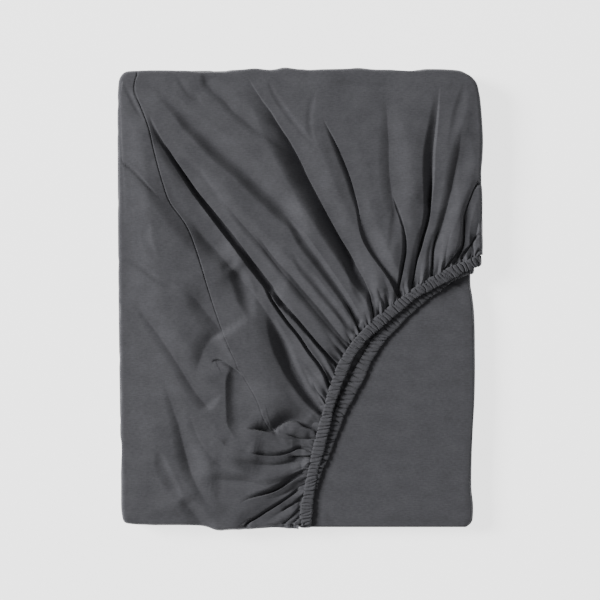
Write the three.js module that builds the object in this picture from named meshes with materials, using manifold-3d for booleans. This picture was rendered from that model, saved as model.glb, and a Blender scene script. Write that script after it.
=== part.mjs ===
// A fitted bed sheet, folded flat into a rectangular packet, lying on its back.
//
// The packet is one cloth and so one solid. From the inside out it runs: the hem of the inner
// corner pocket, that pocket's layer, a back-and-forth section of seven layers, the turn at the
// right-hand edge, and then the outer wrap. The wrap passes under the packet, up round its
// left, top and upper right edges, over the top, and ends in the elasticated hem of the outer
// corner pocket, which crosses the packet in a curve from the bottom edge to the right edge.
// Each layer of the solid stands for about four plies of the real cloth.
//
// Millimetres. X runs across the packet, Y along it, Z up. The origin is the middle of the
// packet's box, on the surface that it rests on.

import * as THREE from "three";
import { mergeVertices } from "three/addons/utils/BufferGeometryUtils.js";
import Module from "manifold-3d";

// Driving dimensions.
const LAYER = 1.6; // thickness of one layer
const GAP = 0.4; // air between two layers
const INNER_LAYERS = 7; // layers of the back-and-forth section
const UNEVEN = 0.5; // how far a layer's edge strays from straight
const LAYER_STEP = 0.35; // how far each layer's edges lie inside those of the one below
const EDGE_ROUND = 5; // how far the wrap bulges out past its turns
const EDGE_SQUARENESS = 3; // exponent of that bulge: 2 is an ellipse, more is squarer
const WRAP_EDGE_TOP = 22; // height of the wrap where it turns over the packet's edge
const WRAP_FLOOR = 20.8; // the lowest that a fold of the wrap reaches
const POCKET_RISE = 5; // how much higher the gathered cloth stands between its folds
const RISE_REACH = 45; // how far from the edge the pocket reaches that height
const HEM_WIDTH = 10; // width of an elasticated casing
const HEM_EXTRA = 1.2; // how much thicker a casing is than the layer
const HEM_TOP = 22.2; // height of the outer casing
const HEM_RIPPLE = 0.35; // height of the gathers along a casing

// How finely the cloth is divided.
const WRAP_COLUMNS = 96;
const WRAP_TOP_ROWS = 9;
const WRAP_EDGE_STEPS = 5;
const WRAP_BOTTOM_STEPS = 2;
const STACK_ROWS = 21;
const BEND_STEPS = 3;
const JOIN_ROWS = 9;
const FOLD_STEPS = 14;

const PITCH = LAYER + GAP;
const BEND_RADIUS = PITCH / 2;
const TURN_REACH = BEND_RADIUS + LAYER / 2; // from the point that a turn goes round to its outside

// The turn at the right-hand edge between the wrap's bottom layer and the section's first layer.
const JOIN_SPAN = { from: 0.04, to: 0.54 }; // shares of the packet's length
const JOIN_LAP = 9; // how far it reaches into both layers
const JOIN_INSET = 0.2; // how far its faces lie inside theirs

// Where the layers end towards the packet's ends, and how far their corners are rounded off.
const LAYER_ENDS = {
  leftX: -140, lowerLeft: -176, upperLeft: 175,
  rightX: 140, lowerRight: -182.4, upperRight: 176.4,
};
const LEFT_CORNER = 5;
const OPEN_CORNER = 3;
const WRAPPED_CORNER = 12;
const CORNER_TIGHTNESS = 12;

// Curves in plan, each through points given as X and Y.
const WRAP_OUTLINE = curve([
  [6, -183.6], [-48, -183.2], [-63, -184], [-76, -180.8], [-122, -180.2], [-134, -179.8],
  [-139.8, -176.6], [-141.8, -170], [-142.6, -145], [-144, -80], [-145, 0], [-145.4, 90],
  [-145.6, 150], [-145.2, 166], [-143.4, 176.4], [-137.4, 181.6], [-124, 182], [-80, 181.6],
  [-12, 184], [0, 182.8], [44, 184.2], [80, 182.8], [112, 182.8], [128, 181.4], [137, 176.4],
  [142.4, 166], [143.8, 150], [145.6, 127], [144.4, 99], [145.8, 66], [145, 27],
]);
const OUTER_HEM = curve([
  [9, -178.5], [15.2, -138], [28.8, -83], [41.6, -50], [64, -22], [96, 5.6], [120, 18],
  [138.5, 24.5],
]);
const INNER_HEM = curve([
  [7, -186], [9.6, -167], [27.2, -115], [56, -57], [80, -18], [112, 10], [130, 18], [134, 30],
  [131, 184],
]);
const OPEN_EDGE = curve([
  [9, -178], [50, -182], [88, -182.8], [118, -182.4], [129, -181], [134, -175], [134.6, -160],
  [135, -60], [134, 5], [134.5, 27],
]);
const LEFT_TURNS = curve([[-134.6, -186], [-138, -80], [-139.2, 0], [-139.2, 186]]);
const RIGHT_TURNS = curve([
  [137, -186], [137.6, -167], [137, -140], [139.6, -110], [140, -20], [138, 4], [137.6, 60],
  [137, 186],
]);

// Where the wrap's cloth runs: a share of the hem's length, counted from its lower end, and
// the share of the outline's length that the cloth from there leads to.
const FLOW = [
  { hem: 0, edge: 0 },
  { hem: 0.1, edge: 0.05 },
  { hem: 0.2, edge: 0.12 },
  { hem: 0.28, edge: 0.22 },
  { hem: 0.35, edge: 0.4 },
  { hem: 0.445, edge: 0.53 },
  { hem: 0.55, edge: 0.6 },
  { hem: 0.63, edge: 0.65 },
  { hem: 0.73, edge: 0.72 },
  { hem: 0.79, edge: 0.8 },
  { hem: 0.88, edge: 0.87 },
  { hem: 1, edge: 1 },
].map((row) => ({ ...row, share: (row.hem + row.edge) / 2 }));

// The main folds of the gathered pocket, each a valley along a line from its outer end to its
// end at the hem. `left` and `right` are how wide its two banks are, seen along the line.
const FOLDS = [
  { name: "long crevice", depth: 6, left: 8, right: 13,
    line: [[-123, 147], [-64, 61], [0, -31], [22, -66]] },
  { name: "corner sweep", depth: 3.6, left: 15, right: 9,
    line: [[-142, 109], [-108, 75], [-58, 27], [-2, -57], [14, -88]] },
  { name: "middle trough", depth: 3.2, left: 14, right: 9,
    line: [[-112, 163], [-68, 119], [-12, 63], [22, 10], [44, -30]] },
  { name: "top crevice", depth: 5, left: 17, right: 10,
    line: [[-43, 177], [-16, 135], [16, 79], [42, 23], [54, -12]] },
  { name: "centre fold", depth: 3.6, left: 14, right: 9,
    line: [[18, 145], [42, 87], [56, 38], [76, 2]] },
  { name: "right crevice", depth: 4.6, left: 15, right: 9,
    line: [[110, 167], [104, 103], [96, 51], [89, 14]] },
  { name: "right ridge", depth: 3.4, left: 10, right: 8,
    line: [[128, 160], [118, 99], [106, 43], [105, 24]] },
  { name: "side tuck", depth: 3, left: 7, right: 8,
    line: [[141, 90], [129, 51], [124, 33]] },
  { name: "left trough", depth: 2.6, left: 10, right: 12,
    line: [[-112, -73], [-94, -133], [-84, -155]] },
  { name: "low hollow", depth: 2.8, left: 10, right: 10,
    line: [[-56, -50], [-54, -89], [-51, -106]] },
  { name: "cross tuck", depth: 3.2, left: 9, right: 9,
    line: [[-40, -104], [-8, -94], [12, -108]] },
  { name: "second tuck", depth: 3, left: 8, right: 7,
    line: [[-44, -122], [-14, -124], [10, -122]] },
  { name: "low crevice", depth: 3.8, left: 9, right: 8,
    line: [[-46, -160], [-14, -152], [8, -138]] },
  { name: "bottom tuck", depth: 3, left: 8, right: 7,
    line: [[-52, -181], [-32, -172], [4, -151]] },
].map((fold) => ({ ...fold, points: curve(fold.line).getPoints(FOLD_STEPS) }));

function curve(points) {
  return new THREE.SplineCurve(points.map(([x, y]) => new THREE.Vector2(x, y)));
}

function ramp(low, high, value) {
  return THREE.MathUtils.smoothstep(value, low, high);
}

// A value of a table, read between the two rows that `value` lies between.
function readTable(rows, from, to, value) {
  const next = Math.max(1, rows.findIndex((row) => row[from] >= value));
  const [a, b] = [rows[next - 1], rows[next]];
  return THREE.MathUtils.mapLinear(value, a[from], b[from], a[to], b[to]);
}

// Where a plan curve that rises in Y crosses a given Y, and the cosine of its slope there.
function crossing(plan, y) {
  let [low, high] = [0, 1];
  while (high - low > 1e-5) {
    const middle = (low + high) / 2;
    if (plan.getPoint(middle).y < y) low = middle;
    else high = middle;
  }
  return { x: plan.getPoint(low).x, across: plan.getTangent(low).y };
}

// How far a fold drops the cloth at a plan point. Its banks are smooth and its bottom is sharp.
function foldDrop(fold, point) {
  let nearest = { distance: Infinity };
  for (let i = 0; i < FOLD_STEPS; i++) {
    const along = fold.points[i + 1].clone().sub(fold.points[i]);
    const reach = point.clone().sub(fold.points[i]);
    const share = THREE.MathUtils.clamp(reach.dot(along) / along.lengthSq(), 0, 1);
    const distance = reach.clone().addScaledVector(along, -share).length();
    const isLeft = along.cross(reach) > 0;
    if (distance < nearest.distance) nearest = { distance, isLeft, at: (i + share) / FOLD_STEPS };
  }
  const away = Math.min(nearest.distance / (nearest.isLeft ? fold.left : fold.right), 1);
  return fold.depth * ramp(0, 0.12, nearest.at) * (1 - away) ** 2 * (1 + away);
}

// Height of the wrap's upper face, given how far the plan point is from the hem and the edge.
function wrapTop(point, fromHem, fromEdge) {
  const fullness = THREE.MathUtils.lerp(0.35, 1, ramp(HEM_WIDTH, 3 * HEM_WIDTH, fromHem));
  const rise = POCKET_RISE * ramp(0, RISE_REACH, fromEdge) * fullness;
  const drop = FOLDS.reduce((sum, fold) => sum + foldDrop(fold, point), 0);
  const cloth = Math.max(WRAP_FLOOR, WRAP_EDGE_TOP + rise - drop);
  return THREE.MathUtils.lerp(HEM_TOP, cloth, ramp(0.9 * HEM_WIDTH, 1.8 * HEM_WIDTH, fromHem));
}

// How full a casing is across its width: rounded at its free edge, pinched at its gather line.
function casingFullness(fromHem) {
  const middle = HEM_WIDTH / 2;
  return Math.max(0, 1 - ((fromHem - middle) / middle) ** 2);
}

// The two faces of a layer, each a list of rows of points, closed into one body.
function layerSolid(above, below) {
  const columns = above[0].length;
  const lastRow = above.length - 1;
  const lastColumn = columns - 1;
  const faces = [];
  const quad = (a, b, c, d) => faces.push(a, b, c, a, c, d);
  const top = (row, column) => row * columns + column;
  const under = (row, column) => above.length * columns + top(row, column);
  for (let row = 0; row < lastRow; row++) {
    const next = row + 1;
    for (let column = 0; column < lastColumn; column++) {
      quad(top(row, column), top(row, column + 1), top(next, column + 1), top(next, column));
      quad(under(row, column), under(next, column), under(next, column + 1), under(row, column + 1));
    }
    quad(top(row, 0), top(next, 0), under(next, 0), under(row, 0));
    quad(top(row, lastColumn), under(row, lastColumn), under(next, lastColumn), top(next, lastColumn));
  }
  for (let column = 0; column < lastColumn; column++) {
    const next = column + 1;
    quad(top(0, column), under(0, column), under(0, next), top(0, next));
    quad(top(lastRow, column), top(lastRow, next), under(lastRow, next), under(lastRow, column));
  }
  const geometry = new THREE.BufferGeometry();
  const points = [...above, ...below].flat(2);
  geometry.setAttribute("position", new THREE.Float32BufferAttribute(points, 3));
  geometry.setIndex(faces);
  return toManifold(geometry);
}

// One strip of the wrap: from its hem over the top, round the packet's edge and back under it.
function wrapStrip(share, ripple) {
  const hem = OUTER_HEM.getPointAt(readTable(FLOW, "share", "hem", share));
  const edgeShare = readTable(FLOW, "share", "edge", share);
  const edge = WRAP_OUTLINE.getPointAt(edgeShare);
  const tangent = WRAP_OUTLINE.getTangentAt(edgeShare);
  const out = new THREE.Vector2(-tangent.y, tangent.x);
  const turn = edge.clone().addScaledVector(out, -EDGE_ROUND);
  const openEdge = OPEN_EDGE.getPointAt(share);
  const strip = { above: [], below: [] };
  const add = (plan, top, under, bottom) => {
    strip.above.push([plan.x, plan.y, top]);
    strip.below.push([under.x, under.y, bottom]);
  };

  const reach = hem.distanceTo(turn);
  const casing = Math.min(HEM_WIDTH / reach, 0.3);
  for (let row = 0; row < WRAP_TOP_ROWS; row++) {
    const inCasing = row <= 2;
    const beyond = (row - 2) / (WRAP_TOP_ROWS - 2);
    const along = inCasing ? (row * casing) / 2 : THREE.MathUtils.lerp(casing, 1, beyond);
    const plan = hem.clone().lerp(turn, along);
    const full = inCasing ? casingFullness(along * reach) : 0;
    const pinch = inCasing ? ((1 - full) * HEM_EXTRA) / 2 : 0;
    const top = wrapTop(plan, along * reach, (1 - along) * reach) - pinch + full * ripple;
    add(plan, top, plan, top - LAYER - full * (HEM_EXTRA + ripple));
  }

  const middle = wrapTop(turn, reach, 0) / 2;
  for (let step = 0; step <= WRAP_EDGE_STEPS; step++) {
    const angle = Math.PI * (0.5 - step / WRAP_EDGE_STEPS);
    const across = Math.abs(Math.cos(angle)) ** (2 / EDGE_SQUARENESS);
    const up = Math.sign(angle) * Math.abs(Math.sin(angle)) ** (2 / EDGE_SQUARENESS);
    const outer = turn.clone().addScaledVector(out, EDGE_ROUND * across);
    const inner = turn.clone().addScaledVector(out, (EDGE_ROUND - LAYER) * across);
    add(outer, middle + middle * up, inner, middle + (middle - LAYER) * up);
  }
  for (let step = 1; step <= WRAP_BOTTOM_STEPS; step++) {
    const plan = turn.clone().lerp(openEdge, step / WRAP_BOTTOM_STEPS);
    add(plan, 0, plan, LAYER);
  }
  return strip;
}

// The outer wrap: the bottom layer, the turned edges and the outer corner pocket with its hem.
function wrap() {
  const strips = [];
  for (let column = WRAP_COLUMNS; column >= 0; column--) {
    const ripple = column % 2 ? HEM_RIPPLE : -HEM_RIPPLE;
    strips.push(wrapStrip(column / WRAP_COLUMNS, ripple));
  }
  return layerSolid(strips.map((strip) => strip.above), strips.map((strip) => strip.below));
}

// A cross-section of layers at a share of the packet's length from its lower end. It is built
// up by going along the cloth, and holds the places of the cloth's two faces.
function newSection(share) {
  const section = { above: [], below: [] };
  const middle = (layer) => layer * PITCH + LAYER / 2;

  const put = (layer, x, z, directionX, directionZ, half) => {
    const rightward = (x - LAYER_ENDS.leftX) / (LAYER_ENDS.rightX - LAYER_ENDS.leftX);
    const lower = THREE.MathUtils.lerp(LAYER_ENDS.lowerLeft, LAYER_ENDS.lowerRight, rightward);
    const upper = THREE.MathUtils.lerp(LAYER_ENDS.upperLeft, LAYER_ENDS.upperRight, rightward);
    const step = LAYER_STEP * layer + UNEVEN * Math.sin(layer * 2.1);
    const y = THREE.MathUtils.lerp(lower + step, upper, share);
    section.above.push([x - directionZ * half, y, z + directionX * half]);
    section.below.push([x + directionZ * half, y, z - directionX * half]);
  };

  const level = (layer, x, half) => put(layer, x, middle(layer), layer % 2 ? -1 : 1, 0, half);

  // Half a turn from one layer up to the next, round a point at x, to the right after even layers.
  const turn = (layer, x, half) => {
    const side = layer % 2 ? -1 : 1;
    for (let step = 0; step <= BEND_STEPS; step++) {
      const angle = Math.PI * (step / BEND_STEPS - 0.5);
      const across = side * Math.cos(angle);
      const up = Math.sin(angle);
      const z = middle(layer) + BEND_RADIUS * (1 + up);
      put(layer, x + BEND_RADIUS * across, z, -side * up, Math.abs(across), half);
    }
  };
  return { faces: section, put, level, turn, middle };
}

// Where the turns of the layers lie, uneven from layer to layer and along the packet.
function turnPlaces(share) {
  const corner = Math.abs(2 * share - 1) ** CORNER_TIGHTNESS;
  const y = THREE.MathUtils.lerp(LAYER_ENDS.lowerLeft, LAYER_ENDS.upperLeft, share);
  const wave = (layer) => UNEVEN * Math.sin(layer * 2.4 + y / 70);
  const left = (layer) => {
    return crossing(LEFT_TURNS, y).x + TURN_REACH + LEFT_CORNER * corner + wave(layer);
  };
  const right = (layer) => {
    const inset = (share < 0.5 ? OPEN_CORNER : WRAPPED_CORNER) * corner + LAYER_STEP * layer;
    return crossing(RIGHT_TURNS, y).x - TURN_REACH - inset - UNEVEN + wave(layer);
  };
  return { left, right, innerHem: crossing(INNER_HEM, y) };
}

// The back-and-forth section, from the right-hand end of its lowest layer up to the inner hem.
function stackSection(share, ripple) {
  const { left, right, innerHem } = turnPlaces(share);
  const { faces, put, level, turn, middle } = newSection(share);
  const half = LAYER / 2;
  level(1, right(0), half);
  for (let layer = 1; layer <= INNER_LAYERS; layer++) {
    turn(layer, layer % 2 ? left(layer) : right(layer), half);
  }
  const pocket = INNER_LAYERS + 1;
  const casing = Math.min(HEM_WIDTH / innerHem.across, 2 * HEM_WIDTH);
  for (const along of [1, 0.85, 0.5, 0.15, 0]) {
    const raised = (casingFullness(along * HEM_WIDTH) * (HEM_EXTRA + ripple)) / 2;
    put(pocket, innerHem.x - along * casing, middle(pocket) + raised, 1, 0, half + raised);
  }
  return faces;
}

// The right-hand turn that joins the wrap's bottom layer to the lowest layer of the section.
function joinSection(share) {
  const { right } = turnPlaces(share);
  const { faces, level, turn } = newSection(share);
  const half = LAYER / 2 - JOIN_INSET;
  level(0, right(0) - JOIN_LAP, half);
  turn(0, right(0) + 1, half);
  level(1, right(0) - JOIN_LAP, half);
  return faces;
}

// The solid that follows a cross-section from one share of the packet's length to another.
function sweep(sectionAt, from, to, rows) {
  const sections = [];
  for (let row = 0; row <= rows; row++) {
    const ripple = row % 2 ? HEM_RIPPLE : -HEM_RIPPLE;
    sections.push(sectionAt(THREE.MathUtils.lerp(from, to, row / rows), ripple / 2));
  }
  return layerSolid(sections.map((faces) => faces.above), sections.map((faces) => faces.below));
}

function toManifold(geometry) {
  const merged = mergeVertices(geometry, 1e-4);
  const vertProperties = Float32Array.from(merged.attributes.position.array);
  const triVerts = Uint32Array.from(merged.index.array);
  return new wasm.Manifold(new wasm.Mesh({ numProp: 3, vertProperties, triVerts }));
}

function toGeometry(solid) {
  const mesh = solid.getMesh();
  const geometry = new THREE.BufferGeometry();
  geometry.setAttribute("position", new THREE.Float32BufferAttribute(mesh.vertProperties, 3));
  geometry.setIndex(Array.from(mesh.triVerts));
  geometry.computeVertexNormals();
  return geometry;
}

const wasm = await Module();
wasm.setup();

const stack = sweep(stackSection, 0, 1, STACK_ROWS);
const join = sweep(joinSection, JOIN_SPAN.from, JOIN_SPAN.to, JOIN_ROWS);
const geometry = toGeometry(wrap().add(join).add(stack));
geometry.computeBoundingBox();
const centre = geometry.boundingBox.getCenter(new THREE.Vector3());
geometry.translate(-centre.x, -centre.y, -geometry.boundingBox.min.z);

const cotton = new THREE.MeshStandardMaterial({ color: 0x55555a, roughness: 0.9, metalness: 0 });
const sheet = new THREE.Mesh(geometry, cotton);
sheet.name = "sheet";

const packet = new THREE.Group();
packet.add(sheet);
export default packet;
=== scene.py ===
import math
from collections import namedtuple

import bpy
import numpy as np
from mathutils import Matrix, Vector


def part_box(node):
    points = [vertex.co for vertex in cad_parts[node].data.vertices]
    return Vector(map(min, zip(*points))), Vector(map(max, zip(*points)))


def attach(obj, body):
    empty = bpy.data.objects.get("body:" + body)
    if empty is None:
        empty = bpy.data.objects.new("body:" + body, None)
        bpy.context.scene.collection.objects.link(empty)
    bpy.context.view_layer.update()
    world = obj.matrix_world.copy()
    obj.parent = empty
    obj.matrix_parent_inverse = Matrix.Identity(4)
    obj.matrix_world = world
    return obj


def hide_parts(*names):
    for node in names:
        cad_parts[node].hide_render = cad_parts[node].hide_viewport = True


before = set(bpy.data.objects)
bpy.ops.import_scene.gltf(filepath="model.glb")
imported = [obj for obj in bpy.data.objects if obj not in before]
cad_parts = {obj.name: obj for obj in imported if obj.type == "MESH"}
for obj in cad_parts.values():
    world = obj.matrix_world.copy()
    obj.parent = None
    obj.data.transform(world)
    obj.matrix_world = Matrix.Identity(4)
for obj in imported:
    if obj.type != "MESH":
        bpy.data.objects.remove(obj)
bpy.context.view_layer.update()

# A fitted bed sheet in dark grey cotton, folded flat, seen from straight above.
#
# Four meshes and two casings stand for the one cloth. The two panels of the outer corner
# pocket meet at the corner seam, and wrap the packet from its gathered hem round its edges to
# its underside. The inner pocket shows as a second hem. The folded layers are one long strip
# of cloth, folded back and forth lengthwise and then across. Heights and sizes are in
# millimetres until a mesh is made. A route called a path is a list of places in the 600 by
# 600 photograph.

RNG = np.random.default_rng(7)

MM = 0.001
PX = 0.8  # millimetres to a pixel of the photograph
PHOTO_SIZE = 600
PACKET_CENTRE = (300, 299.5)  # where the middle of the packet is in the photograph

# Heights above the surface that the packet lies on.
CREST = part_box("sheet")[1][2] / MM + 1  # top of the gathered cloth
EDGE_TOP = CREST - 5
PANEL_TOP = 15.7  # top of the smooth folded layers
POCKET_FLOOR = 13.4  # the lowest that a fold of the outer pocket reaches
FLOOR_BY_HEM = 17.2  # the lowest where the inner pocket lies below it
OUTER_HEM_Z = 21.6  # middle of the outer casing
INNER_HEM_Z = 17.7  # middle of the inner casing

EDGE_ROUND = 3.6  # how far inside the outline the cloth turns down
EDGE_BULGE = 4.3  # how far the wrapped edges bulge out past that
EDGE_SQUARENESS = 0.62  # exponent of that bulge: 1 is an ellipse, less is squarer
CASING_HALF = 4.6  # half the width of the outer casing
INNER_HALF = 5.2  # and of the inner one
CASING_THICK = 1.6  # half the thickness of both


def ramp(low, high, value):
    share = np.clip((value - low) / (high - low), 0, 1)
    return share * share * (3 - 2 * share)


def lerp(a, b, share):
    return a + (b - a) * share


def plan(path):
    """Places in the photograph as millimetres in the packet's frame, seen from above."""
    places = np.asarray(path, float)
    return (places - PACKET_CENTRE) * (PX, -PX)


FINE_STEPS = 40  # for each point that a curve is drawn through


def spline(points, count):
    """A smooth curve through the points, as `count` points evenly spaced along it."""
    p = np.asarray(points, float)
    chords = np.linalg.norm(np.diff(p, axis=0), axis=1)
    knots = np.concatenate([[0], np.cumsum(np.sqrt(chords))])
    step = np.diff(knots)[:, None]
    slope = np.diff(p, axis=0) / step
    between = (slope[:-1] * step[1:] + slope[1:] * step[:-1]) / (step[:-1] + step[1:])
    tangent = np.vstack([slope[:1], between, slope[-1:]])
    place = np.linspace(0, knots[-1], FINE_STEPS * len(p))
    i = np.clip(np.searchsorted(knots, place, side="right") - 1, 0, len(p) - 2)
    h = step[i]
    t = ((place - knots[i]) / h[:, 0])[:, None]
    fine = (
        p[i] * (1 + 2 * t) * (1 - t) ** 2
        + tangent[i] * h * t * (1 - t) ** 2
        + p[i + 1] * t * t * (3 - 2 * t)
        + tangent[i + 1] * h * t * t * (t - 1)
    )
    return resample(fine, count)


def unit(vectors):
    return vectors / np.linalg.norm(vectors, axis=1)[:, None]


def left_of(vectors):
    """Plan directions turned a quarter turn to the left."""
    return np.stack([-vectors[:, 1], vectors[:, 0]], axis=1)


def lengths(points):
    return np.concatenate([[0], np.cumsum(np.linalg.norm(np.diff(points, axis=0), axis=1))])


def resample(points, count):
    along = lengths(points)
    wanted = np.linspace(0, along[-1], count)
    return np.stack([np.interp(wanted, along, axis) for axis in points.T], axis=1)


def at_share(points, share):
    """Points of an evenly spaced curve at shares of its length."""
    place = np.clip(share, 0, 1) * (len(points) - 1)
    return np.stack([np.interp(place, np.arange(len(points)), axis) for axis in points.T], axis=-1)


def share_near(points, place):
    return np.argmin(np.linalg.norm(points - place, axis=1)) / (len(points) - 1)


def plane_waves(x, y, wavelength, seed, count=10):
    """Smooth noise of about one unit's height, from crossing waves."""
    rng = np.random.default_rng(seed)
    total = np.zeros_like(x)
    for _ in range(count):
        angle, phase = rng.uniform(0, 2 * math.pi, 2)
        size = wavelength * rng.uniform(0.7, 1.5)
        total += np.sin((x * math.cos(angle) + y * math.sin(angle)) * 2 * math.pi / size + phase)
    return total / math.sqrt(count)


def wave_sum(rows, x, y):
    """Smooth noise of several sizes, each given as its height, wavelength and seed."""
    return sum(height * plane_waves(x, y, wavelength, seed) for height, wavelength, seed in rows)


# Outline of the wrapped part, clockwise from the lower end of the outer hem, in millimetres.
OUTLINE = spline([
    (6, -183.6), (-28, -182.6), (-52, -184.4), (-66, -184), (-77, -180.8), (-122, -179.8),
    (-134.6, -179.4), (-140, -177.4), (-142, -171), (-142.6, -145), (-143.6, -80), (-144.6, 0),
    (-145.2, 90), (-145.4, 150), (-145, 168), (-143.8, 176.4), (-140.2, 181), (-132, 182.4),
    (-80, 182.4), (-48, 183.2), (-36, 184.2), (-24, 183.2), (-13, 185), (0, 183.6), (38, 184),
    (46, 184.6), (60, 183.4), (116, 183.4), (130, 181.6), (138, 176.4), (142, 170), (143.6, 160),
    (145, 145), (145.9, 127), (144.9, 99), (146, 66), (145.6, 27),
], 1600)
OPEN_EDGE = spline([
    (9, -178), (50, -181), (88, -181.6), (118, -181.4), (129, -180), (134, -175), (134.6, -160),
    (135, -60), (134, 5), (134.5, 27),
], 800)

# The outer hem: where the cloth is gathered into it, and its free edge.
GATHER_PATH = [(300,525), (301,505), (303,492), (308,468), (313,445), (319,420), (325,397), (333,374),
               (345,350), (360,331), (380,314), (400,299), (420,284), (440,273), (460,262), (476,257)]
FREE_PATH = [(311,525), (313,507), (315,495), (319,470), (326,445), (332,422), (337,402), (344,382),
             (352,362), (365,344), (380,328), (397,313), (415,298), (435,287), (455,277), (477,267)]
GATHER_LINE = spline(plan(GATHER_PATH), 900)
FREE_EDGE = spline(plan(FREE_PATH), 900)
TUCK_SHARE = 0.28  # the pocket's cloth starts this far across the casing, inside it
TUCK_LINE = lerp(GATHER_LINE, FREE_EDGE, TUCK_SHARE)

SEAM_PATH = [(311,447), (298,442), (285,438), (272,432), (264,419), (257,400), (243,375), (232,353),
             (222,329), (212,300), (200,260), (191,235), (185,223), (170,202), (163,182), (155,152),
             (149,127), (141,106), (135,92), (136,81), (140,71)]

# Guides for the columns of the two panels: the lines that the cloth follows from the hem out
# to the packet's edge. Columns on either side of a crease run along it.
LOWER_GUIDES = [
    [(301,525), (300,526), (299,527)],
    [(306,486), (298,492), (285,501), (272,509), (260,517), (252,521), (243,525), (236,528)],
    [(308,474), (297,478), (289,483), (281,488), (272,492), (262,495), (252,497), (240,503),
     (222,514), (206,524)],
    [(309,465), (290,470), (265,477), (235,480), (200,490), (160,508), (126,520)],
    [(310,459), (285,461), (255,459), (222,452), (190,440), (150,425), (123,410)],
    [(311,452), (283,448), (250,432), (215,396), (180,340), (150,290), (122,240)],
    SEAM_PATH,
]
UPPER_GUIDES = [
    SEAM_PATH,
    [(322,405), (311,388), (303,373), (295,360), (287,345), (278,332), (270,318), (262,306),
     (253,294), (243,282), (233,270), (220,250), (205,228), (190,205), (171,174), (155,132),
     (145,100), (143,74)],
    [(331,386), (327,375), (320,363), (310,350), (300,335), (288,320), (278,307), (268,291),
     (258,276), (250,264), (240,252), (230,240), (220,229), (210,215), (200,202), (188,185),
     (177,170), (165,155), (157,138), (151,115), (149,74)],
    [(338,363), (330,354), (318,341), (308,329), (297,316), (290,302), (280,289), (270,277),
     (260,265), (250,254), (240,240), (230,227), (220,215), (210,204), (200,190), (190,177),
     (180,164), (170,150), (160,131), (155,112), (153,95), (154,74)],
    [(348,346), (338,335), (330,325), (320,313), (310,302), (300,290), (290,278), (280,267),
     (270,255), (260,242), (250,231), (240,221), (230,210), (220,199), (210,185), (200,172),
     (190,162), (175,144), (165,118), (159,95), (158,74)],
    [(360,331), (355,316), (349,304), (341,290), (333,276), (323,263), (315,251), (305,239),
     (296,226), (281,206), (261,187), (241,167), (221,151), (201,132), (181,112), (170,98), (165,86),
     (163,74)],
    [(374,318), (371,297), (366,284), (358,269), (350,254), (340,237), (330,219), (320,200),
     (310,181), (300,160), (293,147), (287,137), (272,114), (255,90), (246,74)],
    [(396,300), (394,288), (390,279), (385,270), (378,260), (372,250), (366,238), (361,222),
     (358,208), (353,187), (348,170), (340,152), (330,134), (318,105), (312,74)],
    [(401,296), (399,286), (401,276), (403,267), (406,255), (407,245), (406,235), (403,224),
     (400,212), (394,200), (389,180), (387,145), (385,112), (384,74)],
    [(414,286), (417,269), (418,257), (421,247), (427,225), (430,215), (432,187), (431,170),
     (432,155), (437,122), (441,95), (442,74)],
    [(430,278), (432,262), (433,250), (436,236), (441,222), (447,203), (451,185), (454,165),
     (457,140), (461,110), (464,88), (465,78)],
    [(456,265), (458,256), (461,248), (463,238), (464,229), (465,217), (468,207), (472,197),
     (475,189), (479,176)],
    [(476,257), (477,256), (478,255)],
]

ROLL_OVER = 0.6  # how far a steep bank leans over its crease, as a share of the depth
ROLL_LIMIT = 1.15  # and the most, as a share of the bank's width
ROLL_REACH = 3.4  # how far from the crease it still leans, in widths of the bank
SHOULDER = 0.3  # how far the cloth round a crease sinks with it, as a share of the depth
SHOULDER_REACH = 2.2  # how far out that goes, as a share of both banks' width
SHOULDER_LIMIT = 26
THIN = 0.4  # how wide a crease is where it begins, as a share
PATH_STEP = 3  # distance between the points of a crease's curve

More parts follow.
